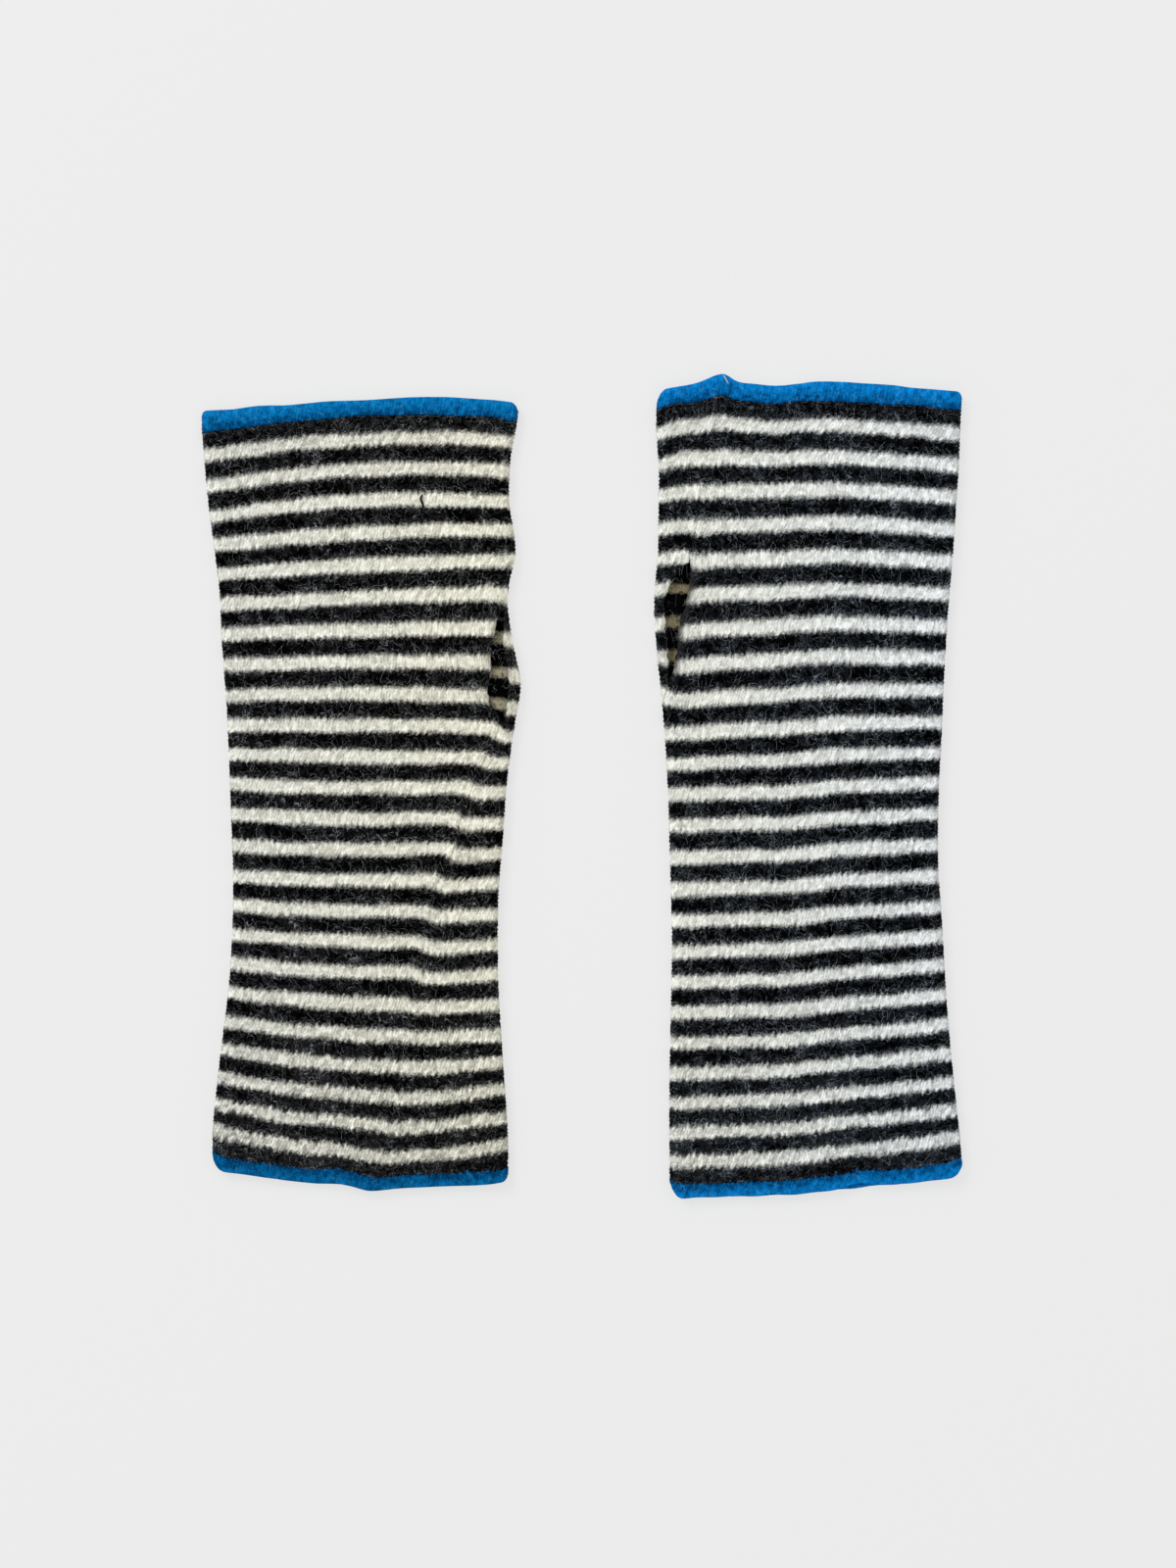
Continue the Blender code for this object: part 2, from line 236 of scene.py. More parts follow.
def cornerDroop(warmer, section, fromThumb, width):
    # Each corner of the flat tube is rounded by a quarter circle: the edge draws in by the height
    # of that circle, and the courses behind it follow less and less.
    total = 0.0
    for end, line, out in (("wrist", 0, -1), ("hand", -1, 1)):
        behind = np.abs(section["course"] - warmer["lines"][line][0]) * knit["courseHeight"]
        for fold, distance in (("Thumb", fromThumb), ("Outer", width - fromThumb)):
            radius = warmer["corners"][end + fold]
            left = np.clip(radius - distance, 0, radius)
            drawn = radius - np.sqrt(radius**2 - left**2)
            total = total - out * drawn * np.exp(-behind / radius)
    return total


def tubePoint(warmer, section, around, lift, along):
    # The wall's middle is two flat runs joined by half circles. The upper run sinks onto the lower
    # one away from the folds and rises along the seam. The point is then moved out by lift, along
    # the wall's outward side, and up the tube by along.
    radius, wall = knit["foldRadius"], knit["wall"]
    quarter, flat, half = section["quarter"], section["flat"], section["half"]
    away = np.minimum(np.abs(around), half)
    upper = around < 0
    turn = np.where(away < quarter, away / radius, math.pi / 2)
    turn = np.where(away > quarter + flat, math.pi - (half - away) / radius, turn)
    inwards = wall / 2 + np.clip(away - quarter, 0, flat) + radius * (1 - np.cos(turn))
    height = radius * np.sin(turn)
    fromFold = np.clip(np.minimum(away - quarter, quarter + flat - away), 0, None)
    fromSeam = np.clip(np.maximum(section["front"] - around, around - section["back"]), 0, None)
    slack = 2 * radius - wall - knit["layerGap"]
    settled = 1 - np.exp(-((fromFold / knit["foldRoll"]) ** 2))
    ridge = knit["seamRidge"] * np.exp(-((fromSeam / knit["seamRidgeWidth"]) ** 2))
    ridge = ridge * np.minimum(1, fromFold / quarter)
    swell = softWaves(around, section["y"], warmer["seed"], knit["swellWave"])
    swell = knit["swell"] * settled * (1 + swell) / 2
    height = height + np.where(upper, ridge + swell - slack * settled, 0)
    width = flat + 2 * radius + wall
    fromOuter = width - inwards
    along = along + cornerDroop(warmer, section, inwards - wall / 2 * np.cos(turn), width)
    across = 2 * fromOuter / width - 1
    y = section["y"] + section["tilt"] * across + section["bow"] * (1 - across**2) + along
    fromOuter = fromOuter + lift * np.cos(turn)
    height = height + lift * np.sin(turn)
    x = section["outer"] + section["towardsThumb"] * fromOuter
    z = wall / 2 + radius + np.where(upper, height, -height)
    return np.stack([x, y, z], axis=-1)


def overCloth(warmer, section, around, lift):
    # A point so high above the cloth's face, where its courses have moved to.
    shift = courseShift(warmer, section, around, around > section["nominal"])
    return tubePoint(warmer, section, around, knit["wall"] / 2 + lift, shift)


def stitchShape(wale, course, seed):
    # A stitch is a V on the cloth's face. Along a course the yarn zigzags, high between two wales
    # and low in the middle of one; its surface is a crest on each leg and a groove between courses.
    place = wale - np.floor(wale)
    zigzag = (np.abs(2 * place - 1) - 0.5) * knit["legsReach"] * knit["courseHeight"]
    legs = np.sin(2 * math.pi * place) ** 2
    groove = (1 - np.cos(2 * math.pi * course)) / 2
    tension = np.random.default_rng(seed).normal(0, knit["unevenness"], np.shape(wale + course))
    tension = np.clip(tension, -0.9, 0.9)
    sink = knit["waleDepth"] * (1 - legs) + knit["rowDepth"] * groove * (0.4 + 0.6 * legs)
    return sink * (1 + tension), zigzag


# ---- meshes ----


def addPiece(name, points, faces, uv, inside, material):
    # faces: arrays of point numbers, one array for each number of corners. uv: wale and course
    # for each point. inside: 1 on the tube's inner side, 0 on the outer one, and up to 0.5 there
    # where it is in shade at the slit. The closed surface is turned so that its faces point
    # outwards, which is so when the pyramids from the origin to them add up to more than nothing.
    sizes = np.concatenate([np.full(len(group), group.shape[1]) for group in faces])
    corners = np.concatenate([group.ravel() for group in faces])
    fans = [group[:, [0, i, i + 1]] for group in faces for i in range(1, group.shape[1] - 1)]
    a, b, c = (points[np.concatenate(fans)[:, i]] for i in range(3))
    if (a * np.cross(b, c)).sum() < 0:
        corners = np.concatenate([group[:, ::-1].ravel() for group in faces])
    used, corners = np.unique(corners, return_inverse=True)
    mesh = bpy.data.meshes.new(name)
    mesh.vertices.add(len(used))
    mesh.vertices.foreach_set("co", (points[used] * mm).astype(np.float32).ravel())
    mesh.loops.add(len(corners))
    mesh.loops.foreach_set("vertex_index", corners.astype(np.int32).ravel())
    mesh.polygons.add(len(sizes))
    starts = np.concatenate([[0], np.cumsum(sizes)[:-1]])
    mesh.polygons.foreach_set("loop_start", starts.astype(np.int32))
    layer = mesh.uv_layers.new(name="stitches")
    layer.uv.foreach_set("vector", uv[used][corners.ravel()].astype(np.float32).ravel())
    hidden = mesh.attributes.new("inside", "FLOAT", "POINT")
    hidden.data.foreach_set("value", inside[used].astype(np.float32))
    mesh.update(calc_edges=True)
    mesh.validate()
    mesh.shade_smooth()
    mesh.materials.append(material)
    piece = bpy.data.objects.new(name, mesh)
    bpy.context.scene.collection.objects.link(piece)
    return piece


def splitShort(quads):
    # Where a grid is cut off slantwise, some quads have lost a side: they are triangles or nothing.
    same = quads == np.roll(quads, -1, axis=1)
    whole = quads[~same.any(axis=1)]
    short = quads[same.sum(axis=1) == 1]
    keep = ~(short == np.roll(short, -1, axis=1))
    return [whole, short[keep].reshape(-1, 3)] if len(short) else [whole]


def quadsOf(grid):
    # The four corners of each cell of a grid of point numbers, or of many such grids.
    corners = (grid[..., :-1, :-1], grid[..., :-1, 1:], grid[..., 1:, 1:], grid[..., 1:, :-1])
    return np.stack(corners, axis=-1).reshape(-1, 4)


def knitPanel(warmer, panel, material):
    # A grid of stitches from the seam to the outer fold, whose columns follow the wales, with a
    # plain grid for the inner side and a rim that joins the two all round. Wales slant across the
    # outer fold, so each row ends at its own column.
    side = -1 if panel == "front" else 1
    perWale, step = knit["columnsPerWale"], knit["innerStep"]
    course = np.linspace(0, knit["courses"], knit["courses"] * knit["rowsPerCourse"] + 1)[:, None]
    section = sectionAt(warmer, course)
    pitch = 2 * section["half"] / knit["wales"]
    reach = (section["half"] - side * section["nominal"]) / pitch
    columns = int(math.ceil(reach.max() * perWale / step)) * step + 1
    wale = np.minimum(np.arange(columns)[None, :] / perWale, reach)
    last = np.ceil(reach[:, 0] * perWale - 1e-6).astype(int)
    pull = (section[panel] - section["nominal"]) * np.exp(-wale * pitch / knit["lipPull"])
    pull = pull * np.clip(1 - wale / reach, 0, 1)
    around = section["nominal"] + side * wale * pitch + pull
    sink, zigzag = stitchShape(wale, course, warmer["seed"] + side + 5)
    lip = knit["seamSink"] + (knit["lipRound"] - knit["seamSink"]) * section["open"]
    lip = lip * np.exp(-((np.abs(around - section[panel]) / knit["lipWidth"]) ** 2))
    along = zigzag + courseShift(warmer, section, around, panel == "back")
    outside = tubePoint(warmer, section, around, knit["wall"] / 2 - sink - lip, along)
    inside = tubePoint(warmer, section, around, lip - knit["wall"] / 2, along)[:, ::step]
    rows, innerColumns = outside.shape[0], inside.shape[1]

    lastInner = np.ceil(last / step).astype(int)
    outerIndex = np.minimum(np.arange(columns)[None, :], last[:, None])
    outerIndex = outerIndex + np.arange(rows)[:, None] * columns
    innerIndex = np.minimum(np.arange(innerColumns)[None, :], lastInner[:, None])
    innerIndex = innerIndex + np.arange(rows)[:, None] * innerColumns + rows * columns

    seamRim = quadsOf(np.stack([innerIndex[:, 0], outerIndex[:, 0]], axis=1))
    foldRim = quadsOf(np.stack([outerIndex[:, -1], innerIndex[:, -1]], axis=1))
    faces = splitShort(quadsOf(outerIndex)) + splitShort(quadsOf(innerIndex)[:, ::-1])
    faces += [seamRim, foldRim]
    for row, turned in ((0, False), (rows - 1, True)):
        for k in range(lastInner[row]):
            top = np.unique(outerIndex[row, k * step : (k + 1) * step + 1])
            ring = np.concatenate([innerIndex[row, k : k + 2], top[::-1]])
            faces.append((ring[::-1] if turned else ring)[None, :])
    points = np.concatenate([outside.reshape(-1, 3), inside.reshape(-1, 3)])
    sign = side * section["towardsThumb"] * np.ones_like(wale)
    uvOuter = np.stack([wale * sign, course + 0 * wale], axis=-1)
    uv = np.concatenate([uvOuter.reshape(-1, 2), uvOuter[:, ::step].reshape(-1, 2)])
    shade = np.exp(-((np.abs(around - section[panel]) / knit["lipShadeWidth"]) ** 2))
    shade = 0.5 * warmer["lipShade"][panel] * section["open"] * shade
    hidden = np.concatenate([shade.ravel(), np.ones(inside[..., 0].size)])
    piece = addPiece(f"{warmer['side']}_knit_{panel}", points, faces, uv, hidden, material)
    girth = float(section["half"].mean()) * mm
    return piece, girth


edging = {
    "rowsPerCourse": 2,
    "rimSteps": 6,  # round the free edge
    "innerRows": 3,
    "gap": 0.03,  # between it and the cloth, in courses
    "relief": 0.55,  # its stitches are flatter than the cloth's
    "points": 0.6,  # and less pointed at the free edge
    "seamSink": 0.3,
    "seamWidth": 0.35,  # in wales
}


def edgingBand(warmer, end, material):
    # A closed ring that carries the cloth on to its free edge: rows of flat stitches outside, a
    # half circle over the edge, and plain rows inside. The rows draw back towards the edge by the
    # half circle's radius, so that it ends on the last course line.
    first, line, out = (0, 0, -1) if end == "wrist" else (knit["courses"], -1, 1)
    last = warmer["lines"][line][0]
    radius = knit["wall"] / 2
    count = int(abs(last - first) * edging["rowsPerCourse"])
    outer = np.linspace(first + out * edging["gap"], last, count + 1)
    inner = np.linspace(last, first + out * edging["gap"], edging["innerRows"] + 1)
    turn = np.linspace(0, math.pi, edging["rimSteps"] + 1)[1:-1]
    course = np.concatenate([outer, np.full(len(turn), last), inner])[:, None]
    layer = np.concatenate([np.ones(len(outer)), np.cos(turn), -np.ones(len(inner))])[:, None]
    over = np.concatenate([0 * outer, np.sin(turn), 0 * inner])[:, None]
    nearness = np.clip((course - first) / (last - first), 0, 1)
    section = sectionAt(warmer, course)
    wale = np.arange(knit["wales"] * knit["columnsPerWale"])[None, :] / knit["columnsPerWale"]
    around = section["nominal"] - wale * 2 * section["half"] / knit["wales"]
    around = np.where(around < -section["half"], around + 2 * section["half"], around)
    sink, zigzag = stitchShape(wale, course, warmer["seed"] + 9)
    zigzag = zigzag * (1 - nearness) ** edging["points"]
    fromSeam = np.minimum(wale, knit["wales"] - wale)
    seamSink = edging["seamSink"] * np.exp(-((fromSeam / edging["seamWidth"]) ** 2))
    sink = (sink * edging["relief"] + seamSink) * np.clip(layer, 0, 1)
    shift = courseShift(warmer, section, around, around > section["nominal"])
    along = zigzag + shift + out * radius * (over - nearness)
    points = tubePoint(warmer, section, around, layer * radius - sink, along)
    index = np.arange(wale.size * len(course)).reshape(len(course), wale.size)
    faces = [quadsOf(np.pad(index, ((0, 1), (0, 1)), mode="wrap"))]
    uv = np.stack(np.broadcast_arrays(wale, course), axis=-1).reshape(-1, 2)
    name = f"{warmer['side']}_{end}_edging"
    inside = (np.broadcast_to(layer, around.shape) < 0).astype(float).ravel()
    return addPiece(name, points.reshape(-1, 3), faces, uv, inside, material)


fuzz = {
    "count": 7600,
    "steps": 5,  # points along a fibre
    "step": 0.85,  # between two of them
    "stepRange": (0.5, 1.4),  # times that, from one fibre to another
    "curl": 0.7,  # radians that it turns at each point
    "kink": 0.4,  # and how much that changes along it
    "stand": 0.42,  # how high it arches above the cloth
    "standRange": (0.1, 1),
    "rooted": 0.2,  # how deep its ends lie
    "width": 0.055,
    "widthRange": (0.6, 1.2),
    "sides": 3,
    "margin": 0.3,  # courses left free at either end of the cloth
    "foldMargins": (0.6, 0.2),  # left free at the outer fold and at the thumb fold
    "fromCream": 0.3,  # share that rises out of the top of a cream stripe
    "creamRoots": (6.3, 7.95),  # in courses from the foot of the dark stripe below
    "creamLean": 0.7,  # how far it leans off the wale, in radians
    "fromEdge": 0.07,  # share in the last dark stripe at either end
    "edgeRoots": (0.5, 3.5),
}


def ringsRound(middle, sides, radius):
    # A ring of points round each point of a path: one arm of it lies level and square to the path,
    # the other is square to both, and the points go round as their cosine and sine.
    forward = np.gradient(middle, axis=-2)
    level = np.cross(forward, np.array([0.0, 0.0, 1.0]))
    level /= np.linalg.norm(level, axis=-1, keepdims=True) + 1e-9
    upright = np.cross(level, forward)
    upright /= np.linalg.norm(upright, axis=-1, keepdims=True) + 1e-9
    spoke = (np.arange(sides) * 2 * math.pi / sides)[:, None]
    ring = np.cos(spoke) * level[..., None, :] + np.sin(spoke) * upright[..., None, :]
    return middle[..., None, :] + radius * ring


def looseFibres(warmer, material):
    # Each fibre is a curling walk over the upper side that starts and ends in the cloth: a closed
    # thread with three sides and pointed ends.
    random = np.random.default_rng(warmer["seed"] + 20)
    count, steps, sides = fuzz["count"], fuzz["steps"], fuzz["sides"]
    draw = partial(random.uniform, size=(count, 1))
    lowest, highest = fuzz["margin"], knit["courses"] - fuzz["margin"]
    course = draw(lowest, highest)
    stripes = np.floor(course / (2 * knit["stripe"])) * 2 * knit["stripe"]
    fromCream = draw(0, 1) < fuzz["fromCream"]
    course = np.where(fromCream, stripes + draw(*fuzz["creamRoots"]), course)
    byEdge = draw(0, 1) < fuzz["fromEdge"]
    ends = random.integers(0, 2, (count, 1)) * (knit["courses"] - knit["stripe"])
    course = np.where(byEdge, ends + draw(*fuzz["edgeRoots"]), course)
    heading = draw(0, 2 * math.pi)
    upwards = random.normal(math.pi / 2, fuzz["creamLean"], (count, 1))
    heading = np.where(fromCream, upwards, heading)
    curl = random.normal(0, fuzz["curl"], (count, 1))
    curl = curl + random.normal(0, fuzz["kink"], (count, steps))
    turn = heading + np.cumsum(curl, axis=1) - curl[:, :1]
    length = fuzz["step"] * draw(*fuzz["stepRange"])
    start = sectionAt(warmer, course)
    around = -draw(0, 1) * start["half"]
    u = around + np.cumsum(length * np.cos(turn), axis=1)
    v = course + np.cumsum(length * np.sin(turn), axis=1) / knit["courseHeight"]
    v = np.clip(v, lowest, highest)
    section = sectionAt(warmer, v)
    byOuter, byThumb = fuzz["foldMargins"]
    u = np.clip(u, byOuter - section["half"], -byThumb)
    t = np.linspace(0, 1, steps)[None, :]
    stand = fuzz["stand"] * draw(*fuzz["standRange"]) * np.sin(math.pi * t)
    middle = overCloth(warmer, section, u, stand - fuzz["rooted"])

    radius = fuzz["width"] * draw(*fuzz["widthRange"])[..., None, None] / 2
    rings = ringsRound(middle, sides, radius)[:, 1:-1]
    points = np.concatenate([middle[:, :1], rings.reshape(count, -1, 3), middle[:, -1:]], axis=1)
    perFibre = points.shape[1]
    index = np.arange(count * perFibre).reshape(count, perFibre)
    grid = index[:, 1:-1].reshape(count, steps - 2, sides)
    grid = np.concatenate([grid, grid[:, :, :1]], axis=2)
    tips = (
        (index[:, :1], grid[:, 0, 1:], grid[:, 0, :-1]),
        (index[:, -1:], grid[:, -1, :-1], grid[:, -1, 1:]),
    )
    tips = [np.stack(np.broadcast_arrays(*tip), axis=-1).reshape(-1, 3) for tip in tips]
    uv = np.stack([draw(0, 1), course], axis=-1)  # its tone, and the course where it roots
    uv = np.broadcast_to(uv, (count, perFibre, 2)).reshape(-1, 2)
    name = f"{warmer['side']}_loose_fibres"
    faces = [quadsOf(grid), *tips]
    return addPiece(name, points.reshape(-1, 3), faces, uv, 0 * uv[:, 0], material)


def threadAlong(name, warmer, material, path, width, tone, steps=21, sides=8):
    # A round thread, thinner at its two ends, through places given as course, distance round and
    # height on the cloth.
    t = np.linspace(0, 1, steps)
    rows = [(k, *place) for k, place in zip(np.linspace(0, 1, len(path)), path)]
    v, u, lift = (smoothThrough(rows, i, t) for i in (1, 2, 3))
    middle = overCloth(warmer, sectionAt(warmer, v), u, lift)
    radius = width / 2 * np.sin(math.pi * np.clip(t, 0.02, 0.98)) ** 0.4
    rings = ringsRound(middle, sides, radius[:, None, None])
    index = np.arange(steps * sides).reshape(steps, sides)
    wrapped = np.concatenate([index, index[:, :1]], axis=1)
    faces = [quadsOf(wrapped), index[:1, ::-1], index[-1:]]
    uv = np.broadcast_to(np.array(tone), (index.size, 2))
    return addPiece(name, rings.reshape(-1, 3), faces, uv, np.zeros(index.size), material)


# ---- materials ----


def newGroup(name, inputs, outputs):
    # An input without a value is a vector. All the others and the outputs are plain numbers.
    group = bpy.data.node_groups.new(name, "ShaderNodeTree")
    for label, value in inputs.items():
        kind = "NodeSocketVector" if value is None else "NodeSocketFloat"
        socket = group.interface.new_socket(label, in_out="INPUT", socket_type=kind)
        if value is not None:
            socket.default_value = value
    for label in outputs:
        group.interface.new_socket(label, in_out="OUTPUT", socket_type="NodeSocketFloat")
    given = group.nodes.new("NodeGroupInput").outputs
    return group, given, group.nodes.new("NodeGroupOutput").inputs


def feed(tree, socket, value):
    # A number or a colour is set on the socket. Anything else is another node's output.
    if isinstance(value, tuple):
        socket.default_value = (*value, 1)
    elif isinstance(value, (int, float)):
        socket.default_value = value
    else:
        tree.links.new(value, socket)


def makeNode(tree, kind, **values):
    made = tree.nodes.new(kind)
    for label, value in values.items():
        if label in made.inputs:
            feed(tree, made.inputs[label], value)
        else:
            setattr(made, label, value)
    return made


def doMath(tree, operation, *values, clamp=False):
    made = makeNode(tree, "ShaderNodeMath", operation=operation, use_clamp=clamp)
    for i, value in enumerate(values):
        feed(tree, made.inputs[i], value)
    return made.outputs[0]


def mixColours(tree, factor, first, second, blend="MIX"):
    made = makeNode(tree, "ShaderNodeMix", data_type="RGBA", blend_type=blend)
    for i, value in ((0, factor), (6, first), (7, second)):
        feed(tree, made.inputs[i], value)
    return made.outputs[2]


def strayNoise(tree, vector, **values):
    # A noise less its middle value, so it strays either way from nothing.
    noise = makeNode(tree, "ShaderNodeTexNoise", Vector=vector, **values)
    return doMath(tree, "SUBTRACT", noise.outputs["Fac"], 0.5)


def sumOf(tree, start, *terms, clamp=False):
    # The start plus each value times its weight.
    for i, (value, weight) in enumerate(terms):
        clampNow = clamp and i == len(terms) - 1
        start = doMath(tree, "MULTIPLY_ADD", value, weight, start, clamp=clampNow)
    return start


def placeGroup(tree, group, **values):
    made = tree.nodes.new("ShaderNodeGroup")
    made.node_tree = group
    for label, value in values.items():
        feed(tree, made.inputs[label], value)
    return made.outputs


curls = {
    "nets": ((0.0, 1.0), (1.1, 0.8), (2.3, 1.25)),  # turn and size of each net of lines
    "axis": (0.3, 0.2, 1.0),
    "distortion": 0.6,
    "patchSize": 0.6,  # of the noise that breaks them up, in their own scale
    "patchEdge": 6.0,
}


def curlyFibreGroup():
    # Thin curling lines: places where a smooth noise passes through its middle value, broken up
    # by a coarser noise. Three such nets lie over each other, turned apart.
    inputs = {"Vector": None, "Scale": 430.0, "Width": 0.03, "Cover": 0.5}
    group, given, result = newGroup("curlyFibres", inputs, ["Mask"])
    do = partial(doMath, group)
    total = 0.0
    for turn, size in curls["nets"]:
        turned = makeNode(group, "ShaderNodeVectorRotate", rotation_type="AXIS_ANGLE", Angle=turn)
        turned.inputs["Axis"].default_value = curls["axis"]
        group.links.new(given["Vector"], turned.inputs["Vector"])
        noise = partial(strayNoise, group, turned.outputs[0], Detail=1.0)
        scale = do("MULTIPLY", given["Scale"], size)
        off = do("ABSOLUTE", noise(Scale=scale, Distortion=curls["distortion"]))
        line = do("SUBTRACT", 1.0, do("DIVIDE", off, given["Width"]), clamp=True)
        patches = noise(Scale=do("MULTIPLY", scale, curls["patchSize"]))
        shown = do("ADD", do("SUBTRACT", patches, 0.5), given["Cover"])
        shown = do("MULTIPLY", shown, curls["patchEdge"], clamp=True)
        total = do("MAXIMUM", total, do("MULTIPLY", line, shown))
    group.links.new(total, result["Mask"])
    return group


legs = {
    "strands": 2.0,  # to a wale
    "lean": 0.12,  # how far they lean over, in strands to a course
    "driftScale": 520.0,
    "tuft": 0.25,  # how much lower they get between two courses, as bump and, in the colour, as painted shade
    "drawnOut": ((0.65, 0.45), (0.7, 0.3)),  # how fine the noise is across and along them
    "detail": 2.5,
    "roughness": 0.65,
    "contrast": 3.8,
}


def woolStrokesGroup():
    # The legs of the stitches as short strokes. Height is a wave across the wales, dimmer between
    # two courses, mixed with a noise drawn out along it that breaks it up: Regularity is the
    # wave's share. Ragged is that noise alone, less its middle value, and Fringe a longer kind,
    # for the frayed edges of stripes. Jitter moves wales and courses about, as fulling does.
    inputs = {"Vector": None, "Wale": 0.0, "Course": 0.0, "Jitter": 0.6, "Regularity": 0.4}
    group, given, result = newGroup("woolStrokes", inputs, ["Height", "Ragged", "Fringe"])
    do = partial(doMath, group)
    drift = makeNode(
        group, "ShaderNodeTexNoise", Vector=given["Vector"], Scale=legs["driftScale"], Detail=2.0
    )
    parts = makeNode(group, "ShaderNodeSeparateColor", Color=drift.outputs["Color"])
    sideStep = do("SUBTRACT", parts.outputs[0], 0.5)
    wale = do("MULTIPLY_ADD", sideStep, given["Jitter"], given["Wale"])
    upStep = do("MULTIPLY", do("SUBTRACT", parts.outputs[1], 0.5), 2.0)
    course = do("MULTIPLY_ADD", upStep, given["Jitter"], given["Course"])
    place = do("MULTIPLY", wale, legs["strands"])
    place = do("SUBTRACT", place, do("MULTIPLY", course, legs["lean"]))
    wave = do("MULTIPLY_ADD", do("SINE", do("MULTIPLY", place, 2 * math.pi)), 0.5, 0.5)
    tuft = do("COSINE", do("MULTIPLY", course, 2 * math.pi))
    wave = do("MULTIPLY", wave, do("MULTIPLY_ADD", tuft, legs["tuft"], 1 - legs["tuft"]))
    noises = []
    for finer, stretch in legs["drawnOut"]:
        drawn = group.nodes.new("ShaderNodeCombineXYZ")
        feed(group, drawn.inputs[0], do("MULTIPLY", place, finer))
        feed(group, drawn.inputs[1], do("MULTIPLY", course, stretch))
        values = {"Scale": 1.0, "Detail": legs["detail"], "Roughness": legs["roughness"]}
        noises.append(strayNoise(group, drawn.outputs[0], **values))
    strand = do("MULTIPLY_ADD", noises[0], legs["contrast"], 0.5, clamp=True)
    rest = do("SUBTRACT", 1.0, given["Regularity"])
    height = do("MULTIPLY_ADD", strand, rest, do("MULTIPLY", wave, given["Regularity"]))
    for label, value in zip(("Height", "Ragged", "Fringe"), (height, *noises)):
        group.links.new(value, result[label])
    return group


wool = {
    "roughness": 0.95,
    "gapRoughness": 1.0,  # between strands, and how much less it is on their crests
    "crestRoughness": -0.12,
    "specular": 0.01,
    "fineScale": 4200.0,  # of the fine fibres over the strands
    "fineHeight": 0.5,
    "bumpDepth": 0.00025,
}


def newMaterial(name, roughness, specular):
    # Also its nodes and the shader's sockets.
    material = bpy.data.materials.new(name)
    material.use_nodes = True
    shader = material.node_tree.nodes["Principled BSDF"].inputs
    shader["Roughness"].default_value = roughness
    shader["Specular IOR Level"].default_value = specular
    return material, material.node_tree, shader


def startWool(name):
    # The stitches' map gives the wale across and the course up.
    material, tree, shader = newMaterial(name, wool["roughness"], wool["specular"])
    position = tree.nodes.new("ShaderNodeTexCoord").outputs["Object"]
    stitches = makeNode(tree, "ShaderNodeUVMap", uv_map="stitches").outputs["UV"]
    split = makeNode(tree, "ShaderNodeSeparateXYZ", Vector=stitches)
    return material, tree, shader, position, split.outputs["X"], split.outputs["Y"]


def placeStrokes(tree, group, position, wale, course, values):
    amounts = {"Jitter": values["jitter"], "Regularity": values["regularity"]}
    return placeGroup(tree, group, Vector=position, Wale=wale, Course=course, **amounts)


def finishWool(tree, shader, colour, position, height, strength):
    # The strands' height is both bump and gloss, with fine fibres over it in the bump.
    fine = strayNoise(tree, position, Scale=wool["fineScale"], Detail=3.0)
    total = sumOf(tree, height, (fine, wool["fineHeight"]))
    depth = {"Strength": strength, "Distance": wool["bumpDepth"]}
    bump = makeNode(tree, "ShaderNodeBump", Height=total, **depth)
    roughness = sumOf(tree, wool["gapRoughness"], (height, wool["crestRoughness"]))
    tree.links.new(colour, shader["Base Color"])
    tree.links.new(roughness, shader["Roughness"])
    tree.links.new(bump.outputs["Normal"], shader["Normal"])
